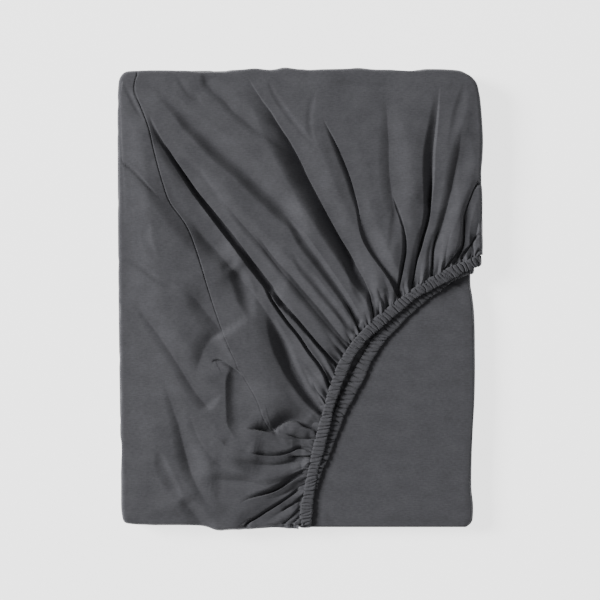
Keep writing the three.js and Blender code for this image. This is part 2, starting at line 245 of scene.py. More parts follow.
# The creases of the pocket, listed one by one. Each path runs from its outer end towards
# the hem. Depth is the fall to its bottom, and a negative one is a ridge. Left and right are
# how wide the two banks are, seen along the path, and the narrower bank is the steep one. Start
# and end are the shares of the path over which it comes and goes, and taper is how wide it is
# at its end, as a share of its beginning. A valley is sharp at its bottom. A crest is sharp at
# the top of its steep bank. A slot is steep on both sides. A bank falls evenly. A line is sharp
# on its narrow side only. A soft one is round all over.
Fold = namedtuple("Fold", "name kind depth left right start end taper path")
FOLDS = [Fold(*row) for row in (
    # The long crevice that crosses the packet from its upper left corner.
    ("long crevice, slope", "valley", 4, 2, 10, 0.2, 0.5, 1,
     [(148,114), (157,131), (166,144), (177,160), (190,177), (205,197), (222,219), (240,243)]),
    ("long crevice", "slot", 11, 1.5, 6.6, 0.4, 0.12, 1,
     [(156,131), (163,142), (170,151), (179,163), (189,176), (198,188), (207.5,200), (222.5,220),
      (238,240), (253,260), (268.5,280), (277,291), (285,302)]),
    ("long crevice, upper arm", "slot", 7, 1.4, 3.2, 0.2, 0, 1,
     [(272,286), (279,297), (287,306), (297,317), (308,330), (318,342), (330,355), (338,364)]),
    ("long crevice, lower arm", "slot", 5.4, 1.5, 3, 0.2, 0, 1,
     [(262,280), (270,294), (278,306), (288,320), (300,335), (310,350), (320,363), (327,375),
      (331,386)]),
    # Right of it, lines that run down to the hem side by side.
    ("broad trough", "soft", 5.4, 13, 11, 0.45, 0.2, 1,
     [(155,78), (161,93), (170,103), (181,113), (191,124), (201,132), (221,151), (241,167), (261,187),
      (281,206), (301,229), (311,241)]),
    ("broad trough, lower end", "soft", 3.4, 5, 8, 0.3, 0, 0.6,
     [(284,214), (292,225), (300,235), (310,249), (320,262), (330,276), (340,290), (350,305),
      (359,320)]),
    ("broad trough, slit", "slot", 3.6, 1.3, 1.6, 0.5, 0, 1,
     [(343,299), (349,308), (355,319), (360,331)]),
    ("first thin line, faint", "soft", 0.7, 3, 4, 0.3, 0.2, 1,
     [(175,152), (190,164), (200,172), (210,185), (220,199), (232,211)]),
    ("first thin line", "line", 2, 10, 5, 0.2, 0, 0.8,
     [(222,200), (230,210), (240,222), (250,233), (260,245), (270,257), (280,270), (300,293),
      (320,317), (337,337), (347,349)]),
    ("second thin line", "line", 2.4, 10, 5, 0.25, 0, 0.8,
     [(246,226), (260,240), (270,253), (280,265), (290,275), (300,287), (320,310), (338,333),
      (349,345)]),
    ("soft line beside the trough", "soft", 2, 5, 6, 0.35, 0, 0.7,
     [(290,250), (303,270), (313,280), (323,293), (333,305), (343,317), (353,332)]),
    ("top thin line", "line", 1.9, 12, 6, 0.1, 0.35, 1,
     [(202,73), (207,84), (213,92), (223,100), (233,112), (243,120), (253,129), (263,135), (273,142),
      (283,149), (295,156)]),
    ("faint top line", "line", 0.7, 5, 4, 0.3, 0.3, 1,
     [(175,76), (182,85), (188,94), (197,100), (204,108)]),
    # The second great fold, from the middle of the top edge.
    ("top crevice", "bank", 10, 1.7, 24, 0.4, 0.16, 0.32,
     [(246,75), (255,90), (263,102), (272,114), (280,127), (287,137), (293,147), (300,160), (310,181),
      (320,200), (330,219), (340,237), (350,254), (358,269), (366,284), (371,297), (374,317)]),
    ("top crevice, lower bank", "soft", 1.8, 9, 8, 0.3, 0.2, 0.8,
     [(335,228), (343,243), (350,258), (354,270), (357,281), (361,294), (365,307)]),
    ("pleat below it", "slot", 3, 1, 1.4, 0.4, 0, 1, [(369,293), (372,303), (374,318)]),
    ("pleat right of it", "line", 1.8, 5, 3, 0.4, 0, 1, [(376,286), (381,299), (386,309)]),
    ("faint line right of it", "soft", 0.7, 3, 4, 0.3, 0.4, 1,
     [(267,75), (272,90), (280,103), (300,130), (325,158)]),
    # The sweep from the left-hand edge, which passes under the seam.
    ("left sweep", "soft", 5.4, 22, 20, 0.65, 0.2, 1,
     [(119,158), (127,161), (138,168), (150,178.5), (161,188), (172,198), (182,208), (193,218),
      (204,230), (213,240), (221,249), (228,258), (235,270)]),
    ("left sweep, thin line", "slot", 1.0, 1.6, 2.4, 0.2, 0.5, 1,
     [(119,161), (126,164), (134,170), (142,178), (150,187), (158,195), (166,204)]),
    ("left sweep, crisp end", "line", 2.6, 14, 8, 0.4, 0.1, 1,
     [(190,222), (200,234), (209,244), (217,252), (225,261), (233,271)]),
    ("long edge", "line", 4.2, 22, 16, 0.15, 0.2, 1,
     [(222,257), (233,270), (243,282), (253,294), (262,306), (270,318), (278,332), (287,345),
      (295,360), (303,373), (311,386), (322,402)]),
    ("long edge, upper bank", "soft", 2.6, 9, 8, 0.35, 0.4, 1,
     [(231,259), (236,270), (240,281), (244,292), (248,306), (254,322)]),
    ("long edge, lower bank", "soft", 6.4, 10, 10, 0.4, 0, 0.5,
     [(268,310), (274,328), (280,343), (286,357), (292,370), (299,382), (306,393), (314,403),
      (322,411)]),
    ("curl at the hem", "valley", 2.4, 2, 4, 0.4, 0, 1, [(312,381), (317,390), (323,397), (328,399)]),
    # The middle of the pocket.
    ("centre fold", "valley", 4, 1.5, 5.5, 0.35, 0.45, 1,
     [(322,118), (330,133), (338,148), (345,164), (351,180), (355,195), (358,208), (360,222),
      (364,236)]),
    ("centre fold, lower end", "crest", 3.8, 20, 8, 0.5, 0, 0.35,
     [(357,196), (360,212), (362.5,226), (366,239), (372,251), (379,262), (385.5,272), (391,282),
      (396,295)]),
    ("faint curl", "soft", 0.5, 3, 4, 0.3, 0.3, 1,
     [(318,89), (313,100), (310,117), (310,129), (313,140), (320,150)]),
    ("faint cross line", "soft", 0.8, 2.4, 4, 0.3, 0.3, 1,
     [(325,83), (350,85), (370,86), (390,87), (403,87)]),
    ("upright line", "line", 2.2, 18, 9, 0.45, 0.3, 1,
     [(384,92), (386,112), (387,129), (388,145), (388,162), (389,179), (391,195), (393,212),
      (392,232)]),
    ("upright line, lower hollow", "soft", 1, 9, 6, 0.5, 0.5, 1,
     [(394,196), (396,214), (394,232), (390,246), (386,256)]),
    ("right of centre", "valley", 7, 1.4, 7, 0.7, 0, 0.4,
     [(398,205), (401,216), (403.5,226), (405.5,237), (406.3,247), (405.8,256), (404,266), (402,276),
      (400,286), (399,296)]),
    ("right of centre, upper line", "slot", 1.1, 1.2, 2, 0.4, 0.3, 1,
     [(392,196), (396,205), (399.5,214), (402.5,224), (404.5,233)]),
    # The right-hand side.
    ("right crevice", "line", 5.2, 2.6, 13, 0.7, 0.1, 0.5,
     [(439,82), (438,100), (436.5,118), (434.5,135), (432.5,152), (431.8,170), (431.6,187),
      (431.4,202), (430.5,215)]),
    ("right crevice, lower end", "valley", 7.5, 1.6, 9, 0.3, 0, 0.3,
     [(431.8,172), (431.6,187), (431.2,202), (430,215), (427.5,228), (424.5,240), (421.5,251),
      (418.5,262), (416.5,273), (414.5,285)]),
    ("right crevice, slot", "slot", 4, 1.2, 2, 0.5, 0, 0.8,
     [(430,203), (427.5,219), (424,234), (420,247), (417.5,260), (415.5,273), (413,286)]),
    ("right ridge", "line", 3.4, 20, 10, 0.3, 0, 0.32,
     [(461,126), (459.5,140), (457.5,155), (454.5,170), (451.5,185), (448,200), (444,215), (440,229),
      (437,241), (434.5,252), (433.5,263), (432,275)]),
    ("right ridge, upper", "soft", 0.8, 7, 5, 0.35, 0.5, 1,
     [(464,82), (461,98), (457,113), (453.5,127), (450,141), (447,152)]),
    ("right ridge, slot", "slot", 4, 1.5, 1.7, 0.4, 0, 1,
     [(439.5,224), (436.3,238), (434,250), (433.2,262), (432,274)]),
    ("side fold", "slot", 2.4, 1.1, 1.6, 0.15, 0.2, 1,
     [(480,178), (475,189), (471.5,197), (468,207), (465.5,217), (464.5,227)]),
    ("side fold, lower end", "valley", 5.6, 1.3, 4.4, 0.4, 0, 0.9,
     [(471.5,197), (468,207), (465.5,217), (464.8,229), (464.6,240), (462.8,250), (459,257),
      (455.5,263)]),
    ("side fold, second end", "slot", 2.6, 1.2, 1.4, 0.4, 0, 1,
     [(463,243), (459,250), (454,258), (449,264), (445,270)]),
    ("side tuck", "slot", 3, 1.1, 1.8, 0.3, 0, 1,
     [(480,232), (475,240), (470.5,247), (467,252), (463,259)]),
    ("side tuck, second", "valley", 2.6, 1.2, 1.6, 0.3, 0, 1, [(480,246), (477,252), (473,258)]),
    # The lower left, where the cloth hangs in a shallow bag.
    ("left trough", "line", 3, 18, 9, 0.6, 0.4, 1,
     [(160,370), (168,392), (174,410), (179,425), (183,441), (187,457), (191,471), (197,485),
      (206,500), (216,514)]),
    ("bag, left side", "line", 1.2, 16, 7, 0.3, 0.3, 1,
     [(188,405), (192,420), (197,434), (204,447), (214,459), (227,468), (240,476)]),
    ("bag, under side", "line", 3.4, 10, 22, 0.3, 0.4, 0.7,
     [(200,475), (213,478), (227,479), (250,481), (263,484), (275,488)]),
    ("bag, outer side", "soft", 1.1, 5, 8, 0.3, 0.3, 1, [(158,448), (165,467), (173,483), (183,499)]),
    ("bag edge", "line", 1.6, 9, 8, 0.3, 0, 1, [(180,497), (190,508), (198,518), (207,526)]),
    ("long soft line", "line", 2, 16, 7, 0.4, 0.06, 1,
     [(128,294), (142,313), (156,331), (169,350), (182,370), (191,385), (200,398), (210,411)]),
    ("hook", "line", 3, 30, 12, 0.3, 0.4, 1,
     [(224,330), (216,335), (209,342), (204,350), (201,358), (198,367), (196,377)]),
    ("curl", "valley", 2.6, 1.5, 4, 0.3, 0.35, 1,
     [(211,366), (213,361), (218,359), (225,361), (231,365), (238,370), (244,377)]),
    ("low hollow", "crest", 3, 22, 8.5, 0.25, 0.3, 1.6,
     [(234,362), (235.5,375), (236.5,390), (238,405), (240,420), (242,432), (243,442)]),
    ("low hollow, lower lip", "soft", 0.9, 5, 3, 0.2, 0.3, 1,
     [(221,438), (227,442), (236,445), (246,449), (256,453)]),
    ("line along the seam", "line", 3.2, 34, 12, 0.5, 0.12, 1,
     [(180,287), (190,294), (198,302), (206,312), (214,322), (221,331), (225,338)]),
    ("upper left line", "soft", 0.9, 3, 4, 0.3, 0.2, 1,
     [(122,259), (140,266), (150,273), (160,280), (180,289)]),
    ("left faint line", "soft", 0.5, 4, 6, 0.3, 0.3, 1, [(150,219), (148,237), (153,250), (160,263)]),
    ("corner line", "soft", 0.6, 2.4, 3, 0.3, 0.3, 1, [(122,79), (130,94), (135,105), (144,121)]),
    # The folds that end at the lower part of the hem.
    ("eye", "valley", 9, 15, 2, 0.3, 0, 0.8,
     [(246,428), (260,430), (268,432), (273,432), (278,428), (285,423), (292,421), (298,422),
      (304,427), (315,430)]),
    ("eye, ridge", "soft", -1, 3, 3, 0.3, 0.2, 1, [(288,427), (300,431), (310,436)]),
    ("eye, second lip", "valley", 4.2, 3.4, 1.8, 0.4, 0, 0.8,
     [(284,433), (292,436), (300,439), (315,440)]),
    ("low cross fold", "valley", 4.6, 6, 1.8, 0.25, 0, 0.6,
     [(249,451), (262,455), (277,456), (290,453), (299,449), (312,452)]),
    ("low cross slit", "slot", 3, 1.1, 1.3, 0.4, 0, 1, [(288,458), (300,455), (311,456)]),
    ("soft cross fold", "line", 4.6, 8, 14, 0.5, 0.1, 0.6,
     [(225,456), (240,460), (252,463), (265,464.5), (277,464.5), (288,462.5), (297,459), (309,458)]),
    ("low crevice", "valley", 8, 8, 1.6, 0.6, 0, 0.6,
     [(240,503), (246,499.5), (253,497), (262,495), (272,492.5), (281,488.5), (289,483), (297,478),
      (306,473)]),
    ("bottom crevice", "valley", 6, 4.4, 1.6, 0.25, 0, 0.7,
     [(232,531), (240,527.5), (248,523.5), (256,519.5), (266,513), (278,505.5), (290,497.5),
      (300,490), (306,486)]),
    ("bottom tuck", "valley", 3.2, 2.6, 1.6, 0.4, 0, 1, [(280,512), (290,507), (302,501)]),
    ("bottom tuck, second", "valley", 3.2, 2, 1.4, 0.3, 0, 1,
     [(280,527), (288,521), (294,515), (301,507)]),
    ("bottom tuck, third", "valley", 3.4, 1.8, 1.4, 0.3, 0, 1, [(286,529), (293,524), (301,516)]),
)]


def nearest(path, x, y, margin):
    """For the points near a path: which they are, their distance, side and place along it."""
    low = path.min(axis=0) - margin
    high = path.max(axis=0) + margin
    near = np.flatnonzero((x > low[0]) & (x < high[0]) & (y > low[1]) & (y < high[1]))
    best = np.full(len(near), np.inf)
    side = np.zeros(len(near))
    place = np.zeros(len(near))
    px, py = x[near], y[near]
    for i in range(len(path) - 1):
        (ax, ay), (dx, dy) = path[i], path[i + 1] - path[i]
        share = np.clip(((px - ax) * dx + (py - ay) * dy) / (dx * dx + dy * dy), 0, 1)
        distance = np.hypot(px - ax - share * dx, py - ay - share * dy)
        closer = distance < best
        best[closer] = distance[closer]
        side[closer] = (dx * (py - ay) - dy * (px - ax))[closer]
        place[closer] = (i + share[closer]) / (len(path) - 1)
    return near, best, side > 0, place


PROFILES = {
    "valley": lambda t: (1 - t) ** 2 * (1 + 0.35 * t),
    "crest": lambda t: 1 - t**2,
    "slot": lambda t: 1 - t**2.6,
    "bank": lambda t: (1 - t) ** 1.6,
    "line": lambda t: (1 - t * t) ** 2,
    "soft": lambda t: (1 - t * t) ** 2,
}


def fold_drop(fold, x, y):
    """How far a crease drops the cloth at each point, and how its steep bank leans over it."""
    path = plan(fold.path)
    path = spline(path, max(12, int(lengths(path)[-1] / PATH_STEP)))
    tangent = unit(np.gradient(path, axis=0))
    steep_left = fold.left < fold.right
    narrow = min(fold.left, fold.right)
    shoulder = min(SHOULDER_REACH * (fold.left + fold.right), SHOULDER_LIMIT)
    margin = max(fold.left, fold.right, shoulder, 4.5 * narrow)
    near, distance, is_left, place = nearest(path, x, y, margin)
    strength = ramp(0, fold.start, place) if fold.start else np.ones_like(place)
    strength = strength * (ramp(0, fold.end, 1 - place) if fold.end else 1)
    taper = lerp(1, fold.taper, place) * lerp(THIN, 1, strength)
    width = np.where(is_left, fold.left, fold.right) * taper
    on_steep = is_left == steep_left
    away = np.clip(np.hypot(distance, 0.3) / width, 0, 1)
    profile = PROFILES[fold.kind](away)
    if fold.kind in ("bank", "slot", "line"):
        profile = np.where(on_steep, PROFILES["valley"](away), profile)
    if fold.kind == "crest":
        profile = np.where(on_steep, profile, PROFILES["soft"](away))
    profile += SHOULDER * (1 - np.clip(distance / (shoulder * taper), 0, 1) ** 2) ** 2
    reach = distance / (narrow * taper)
    drop = np.zeros_like(x)
    drop[near] = fold.depth * profile * strength

    lean = np.zeros((len(x), 2))
    if fold.kind not in ("soft", "line"):
        roll = np.where(on_steep, ramp(0, 1, reach) * ramp(ROLL_REACH, 1, reach), 0)
        across = left_of(at_share(tangent, place)) * (-1 if steep_left else 1)
        size = np.minimum(ROLL_OVER * fold.depth, ROLL_LIMIT * narrow * taper) * strength
        lean[near] = across * (roll * size)[:, None]
    return drop, lean


HEM_LENGTH = lengths(GATHER_LINE)[-1]
INNER_LENGTH = 320  # of the inner hem, about
PLEAT_LEAN = 0.12  # the most that a pleat strays sideways, as a share of its reach
PLEAT_WIDTH = 0.62  # half a pleat's width, as a share of the distance to the next
LEAST_SPACING = 2
PLEAT_SHARPNESS = 1.7


def pleats(length, spacing, reach, depth):
    """Small pleats along a hem, from ranges: for each its place, lean, reach and depth."""
    made = []
    place = 1.0
    while place < length:
        lean = RNG.uniform(-PLEAT_LEAN, PLEAT_LEAN)
        made.append((place, lean, RNG.uniform(*reach), RNG.uniform(*depth)))
        place += RNG.uniform(*spacing)
    return made


PLEATS = [
    pleats(HEM_LENGTH, spacing=(2.4, 3.6), reach=(5, 10), depth=(1, 1.8)),
    pleats(HEM_LENGTH, spacing=(4.2, 7.5), reach=(9, 22), depth=(1.4, 2.8)),
    pleats(HEM_LENGTH, spacing=(9, 16), reach=(26, 60), depth=(1.2, 2.6)),
]
INNER_PLEATS = pleats(INNER_LENGTH, spacing=(5.5, 9), reach=(12, 34), depth=(2.2, 3.6))


def pleat_drop(rows, along, away):
    """How far small pleats drop the cloth, `along` the hem and `away` from it."""
    total = 0
    for row in rows:
        drop = np.zeros_like(along)
        for i, (place, lean, reach, depth) in enumerate(row):
            before = row[max(i - 1, 0)][0]
            after = row[min(i + 1, len(row) - 1)][0]
            centre = place + lean * away
            space_before = max(place - before, LEAST_SPACING)
            space_after = max(after - place, LEAST_SPACING)
            half = np.where(along < centre, space_before, space_after) * PLEAT_WIDTH
            bank = np.clip(1 - np.hypot(along - centre, 0.2) / half, 0, 1) ** PLEAT_SHARPNESS
            drop = np.maximum(drop, depth * bank * ramp(reach, 0.25 * reach, away))
        total = total + drop
    return total


LOWER_SINK = 3.4  # how far the outer casing sinks towards its lower end
RIGHT_SINK = 1.4  # and towards its right-hand end


def hem_height(share):
    """How high the middle of the outer casing lies, from its lower end to its right-hand end."""
    return OUTER_HEM_Z - LOWER_SINK * ramp(0.36, 0.05, share) - RIGHT_SINK * ramp(0.8, 1, share)


RISE_SHARE = 0.84  # how much of the way from the edge's height to the crest the cloth rises
RISE_SPAN = (-6, 75)  # distances from the edge over which it does
POCKET_WAVES = [(0.45, 70, 3), (0.12, 24, 4), (0.03, 9, 5)]
LOW_END = (0.45, 0.12)  # shares of the hem's length over which its low end begins
PULL = 1  # how far the hem pulls down the cloth round it
LOW_PULL = 2.4  # and how much further at its low end
PULL_SPAN = (85, 8)
HEM_LIP = (1.1, 3.4)  # how far the cloth stands above the casing's middle, inside it and beside it
LIP_REACH = 3.2
GATHERED_REACH = (15, 24)  # how far from the hem the cloth lies at its height, and at its low end
LOW_FLOOR = 2.6  # how much deeper the folds may be by the hem's low end
FLOOR_SPAN = (44, 56)  # distances from the hem between its floor and the pocket's
FLOOR_SOFTNESS = 0.7
FREE_OF_LEAN = 5  # how far from hem and edge the creases begin to lean


def pocket_height(x, y, along, away, from_edge):
    """Height of the pocket's cloth at plan points, given where they lie from hem and edge."""
    rise = (CREST - EDGE_TOP) * RISE_SHARE * ramp(*RISE_SPAN, from_edge)
    drop, lean = 0, 0
    for fold in FOLDS:
        one_drop, one_lean = fold_drop(fold, x, y)
        drop = drop + one_drop
        lean = lean + one_lean
    cloth = EDGE_TOP + rise + wave_sum(POCKET_WAVES, x, y) * ramp(0, 20, away)
    share = along / HEM_LENGTH
    low_end = ramp(*LOW_END, share)
    cloth = cloth - (PULL + LOW_PULL * low_end) * ramp(*PULL_SPAN, away)
    beside_hem = hem_height(share) + lerp(*HEM_LIP, ramp(0, LIP_REACH, away))
    gathered = lerp(beside_hem, cloth, ramp(2, lerp(*GATHERED_REACH, low_end), away))
    height = gathered - drop - pleat_drop(PLEATS, along, away) * ramp(0, 2.5, away)
    deepest = lerp(FLOOR_BY_HEM - LOW_FLOOR * low_end, POCKET_FLOOR, ramp(*FLOOR_SPAN, away))
    height = deepest + FLOOR_SOFTNESS * np.logaddexp(0, (height - deepest) / FLOOR_SOFTNESS)
    lean = lean * (ramp(0, FREE_OF_LEAN, away) * ramp(0, FREE_OF_LEAN, from_edge))[:, None]
    return height, lean


GUIDE_POINTS = 300
ROW_CROWDING = 1.35  # exponent that crowds a panel's rows beside the hem
GUIDE_PULL = 0.55  # how far its columns crowd beside its guides
SEAM_CROWDING = 1.5  # exponent that crowds them beside the seam


def guide_grid(guides, rows, columns, seam_gap):
    """Plan points of a panel: a column along each guide and more between, crowded at the seam."""
    curves = [spline(plan(path), GUIDE_POINTS) for path in guides]
    hem = [share_near(GATHER_LINE, curve[0]) for curve in curves]
    edge = [share_near(OUTLINE, curve[-1]) for curve in curves]
    gaps = [np.linalg.norm(b - a, axis=1).mean() for a, b in zip(curves, curves[1:])]
    counts = np.maximum(3, np.round(np.array(gaps) / sum(gaps) * columns)).astype(int)
    t = np.linspace(0, 1, rows) ** ROW_CROWDING
    grid, hem_shares, edge_shares = [], [], []
    for k, count in enumerate(counts):
        last = k == len(counts) - 1
        for step in range(count + last):
            share = step / count
            share = lerp(share, ramp(0, 1, share), GUIDE_PULL)
            if seam_gap == k:
                share = share**SEAM_CROWDING if k == 0 else 1 - (1 - share) ** SEAM_CROWDING
            column = at_share(lerp(curves[k], curves[k + 1], share), t)
            hem_share = lerp(hem[k], hem[k + 1], share)
            edge_share = lerp(edge[k], edge[k + 1], share)
            turn, _ = edge_turn(np.array([edge_share]))
            start = at_share(TUCK_LINE, hem_share)
            column += (start - column[0]) * ((1 - t) ** 3)[:, None]
            column += (turn[0] - column[-1]) * (t**3)[:, None]
            grid.append(column)
            hem_shares.append(hem_share)
            edge_shares.append(edge_share)
    return np.array(grid), np.array(hem_shares), np.array(edge_shares)


TURN_SPAN = 0.004  # shares of the outline on either side that set the way out


def edge_turn(share):
    """Where the cloth turns over the packet's edge, and the way out from there."""
    run = at_share(OUTLINE, share + TURN_SPAN) - at_share(OUTLINE, share - TURN_SPAN)
    out = left_of(unit(run))
    return at_share(OUTLINE, share) - out * EDGE_ROUND, out


WALL_STEPS = 15
WALL_LENGTH = 1000  # of the wrapped side, about
WALL_HALF = 11  # half its height
WALL_LIFT = 0.1  # how far it stays above the surface
# Dents of the wrapped side: height, how much finer upright than along, wavelength and seed.
WALL_DENTS = [(0.9, 2.4, 44, 8), (0.4, 1, 15, 12)]
UNDER_STEPS = 9
UNDER_LIFT = 0.15  # height of the underside above the surface, and its waves and limits
UNDER_WAVES = [(0.12, 40, 9)]
UNDER_LIMITS = (0.05, 0.4)


def wall_dent(edge_share, up):
    """How far the wrapped side is dented, at a height from -1 at its foot to 1 at its top."""
    along = edge_share * WALL_LENGTH
    height = np.full_like(along, up * WALL_HALF)
    return sum(
        depth * plane_waves(along, height * finer, wavelength, seed)
        for depth, finer, wavelength, seed in WALL_DENTS
    )


def panel(name, guides, rows, columns, seam_gap):
    """One panel of the outer pocket: its top, its wall down the packet's side and its underside."""
    grid, hem_share, edge_share = guide_grid(guides, rows, columns, seam_gap)
    distances = np.linalg.norm(np.diff(grid, axis=1), axis=2)
    away = np.concatenate([np.zeros((len(grid), 1)), np.cumsum(distances, axis=1)], axis=1)
    from_edge = away[:, -1:] - away
    along = np.repeat(hem_share[:, None] * HEM_LENGTH, rows, axis=1)
    x, y = grid[..., 0].ravel(), grid[..., 1].ravel()
    height, lean = pocket_height(x, y, along.ravel(), away.ravel(), from_edge.ravel())
    height = (height - seam_drop(x, y)).reshape(len(grid), rows)
    top = np.dstack([grid + lean.reshape(grid.shape), height])

    turn, out = edge_turn(edge_share)
    edge_z = height[:, -1]
    wall, wall_uv = [], []
    down = np.zeros(len(grid))
    previous = top[:, -1]
    for angle in np.linspace(math.pi / 2, -math.pi / 2, WALL_STEPS)[1:]:
        across = abs(math.cos(angle)) ** EDGE_SQUARENESS
        up = math.copysign(abs(math.sin(angle)) ** EDGE_SQUARENESS, angle)
        dent = wall_dent(edge_share, up) * math.cos(angle)
        ring_xy = turn + out * (EDGE_BULGE * across + np.minimum(dent, 0))[:, None]
        ring = np.column_stack([ring_xy, edge_z / 2 * (1 + up) + WALL_LIFT])
        down += np.linalg.norm(ring - previous, axis=1)
        previous = ring
        wall.append(ring)
        wall_uv.append(turn + out * down[:, None])
    inner = at_share(OPEN_EDGE, np.clip(edge_share, 0, 1))
    for share in np.linspace(0, 1, UNDER_STEPS)[1:]:
        flat = lerp(turn, inner, share)
        lift = UNDER_LIFT + wave_sum(UNDER_WAVES, flat[:, 0], flat[:, 1])
        wall.append(np.column_stack([flat, np.clip(lift, *UNDER_LIMITS)]))
        wall_uv.append(flat)
    points = np.concatenate([top, np.stack(wall, axis=1)], axis=1)
    uv = np.concatenate([grid, np.stack(wall_uv, axis=1)], axis=1)
    return grid_object(name, points, uv)


SEAM = spline(plan(SEAM_PATH), 120)
SEAM_REACH = 6
SEAM_DEPTHS = (0.22, 0.75)  # near the hem, and in the upper part
SEAM_DEEPENS = (0.3, 0.55)  # shares of its length between those
SEAM_WIDTH = 0.5
PUCKER = 0.1
PUCKER_RATE = 250
PUCKER_WIDTH = 2.5


def seam_drop(x, y):
    """The groove of the corner seam, and the slight pucker beside it."""
    near, distance, _, place = nearest(SEAM, x, y, SEAM_REACH)
    drop = np.zeros_like(x)
    pucker = PUCKER * np.sin(place * PUCKER_RATE) * np.exp(-((distance / PUCKER_WIDTH) ** 2))
    groove = lerp(*SEAM_DEPTHS, ramp(*SEAM_DEEPENS, place))
    drop[near] = groove * np.exp(-((distance / SEAM_WIDTH) ** 2)) + pucker
    return drop


def grid_object(name, points, uv, closed=False):
    """A mesh from a grid of points in millimetres, with its flat pattern as a UV map."""
    columns, rows = points.shape[:2]
    index = np.arange(columns * rows).reshape(columns, rows)
    if closed:
        index = np.concatenate([index, index[:, :1]], axis=1)
    corners = [index[:-1, :-1], index[:-1, 1:], index[1:, 1:], index[1:, :-1]]
    quads = np.stack(corners, axis=-1).reshape(-1, 4)
    mesh = bpy.data.meshes.new(name)
    mesh.vertices.add(columns * rows)
    mesh.vertices.foreach_set("co", (points.reshape(-1, 3) * MM).ravel())
    mesh.loops.add(quads.size)
    mesh.loops.foreach_set("vertex_index", quads.ravel())
    mesh.polygons.add(len(quads))
    mesh.polygons.foreach_set("loop_start", np.arange(0, quads.size, 4))
    mesh.update(calc_edges=True)
    layer = mesh.uv_layers.new(name="pattern")
    layer.data.foreach_set("uv", (uv.reshape(-1, 2)[quads.ravel()] * MM).ravel())
    mesh.polygons.foreach_set("use_smooth", np.ones(len(quads), bool))
    mesh.validate()
    piece = bpy.data.objects.new(name, mesh)
    bpy.context.scene.collection.objects.link(piece)
    return piece


CASING_SIDES = 24
CASING_FLATNESS = 0.75  # exponent of a casing's section across it: 1 is round, less is squarer
POCKET_BLUNTNESS = 0.6  # and of its height, on the pocket's side
FREE_BLUNTNESS = 0.8  # and on its free side
# The grooves between its ribs, as ranges: lean and bow as shares of its half width, depth,
# width, and where across it they are deepest.
GROOVE_LEAN = (0.05, 0.55)
GROOVE_BOW = (-0.3, 0.3)
GROOVE_DEPTH = (1.5, 2.8)
GROOVE_WIDTH = (0.55, 0.85)
GROOVE_CENTRE = (-0.6, 0.6)
SWELL = 0.22  # how far the long side of a rib falls towards the groove, as a share
SWELL_REACH = 2.6
NARROWING = 0.5  # how much of a groove's depth the casing narrows by
FLATTENING = 0.78  # and how much it flattens by
LEAST_THICK = 0.2


def casing(name, centre, normal, half, seed, count, period):
    """A gathered hem casing along a 3D line: a flattened tube with uneven ribs across it."""
    rng = np.random.default_rng(seed)
    line = resample(np.hstack([centre, normal]), count)
    middle, up = line[:, :3], line[:, 3:]
    tangent = unit(np.gradient(middle, axis=0))
    side = unit(np.cross(tangent, up))
    up = np.cross(side, tangent)
    along = lengths(middle)[:, None]
    around = np.linspace(0, 2 * math.pi, CASING_SIDES, endpoint=False)[None, :]
    across = np.sign(np.cos(around)) * np.abs(np.cos(around)) ** CASING_FLATNESS
    bluntness = np.where(np.cos(around) < 0, POCKET_BLUNTNESS, FREE_BLUNTNESS)
    lift = np.sign(np.sin(around)) * np.abs(np.sin(around)) ** bluntness

    groove = np.zeros((count, around.shape[1]))
    place = 0.0
    while place < along[-1, 0]:
        lean = rng.uniform(*GROOVE_LEAN)
        bow = rng.uniform(*GROOVE_BOW)
        depth = rng.uniform(*GROOVE_DEPTH)
        width = rng.uniform(*GROOVE_WIDTH)
        middle_of_groove = place + half * (lean * across + bow * across**2)
        window = ramp(1.7, 0.8, np.abs(across - rng.uniform(*GROOVE_CENTRE)))
        past = along - middle_of_groove
        slope = np.clip(1 - np.abs(past) / width, 0, 1) ** 0.9
        swell = SWELL * np.clip(1 + past / SWELL_REACH, 0, 1) * (past < 0)
        groove = np.maximum(groove, depth * window * np.maximum(slope, swell))
        place += rng.uniform(*period)
    wander = 0.35 * np.sin(along / 9 + seed) + 0.2 * np.sin(along / 3.7)
    flat = (half + wander - NARROWING * groove) * across
    tall = np.maximum(CASING_THICK - groove * FLATTENING, LEAST_THICK) * lift
    points = (
        middle[:, None, :]
        + side[:, None, :] * flat[..., None]
        + up[:, None, :] * tall[..., None]
    )
    along_uv = np.repeat(along, around.shape[1], axis=1)
    around_uv = np.repeat(around * half * 0.8, count, axis=0)
    return grid_object(name, points, np.dstack([along_uv, around_uv]), closed=True)


NORMAL_WEIGHT = 3  # of a casing's direction beside its place, in the spacing of its points
HEM_STEP = 12  # every so many points of a hem's line shape its casing
UP = [0, 0, 1.0]


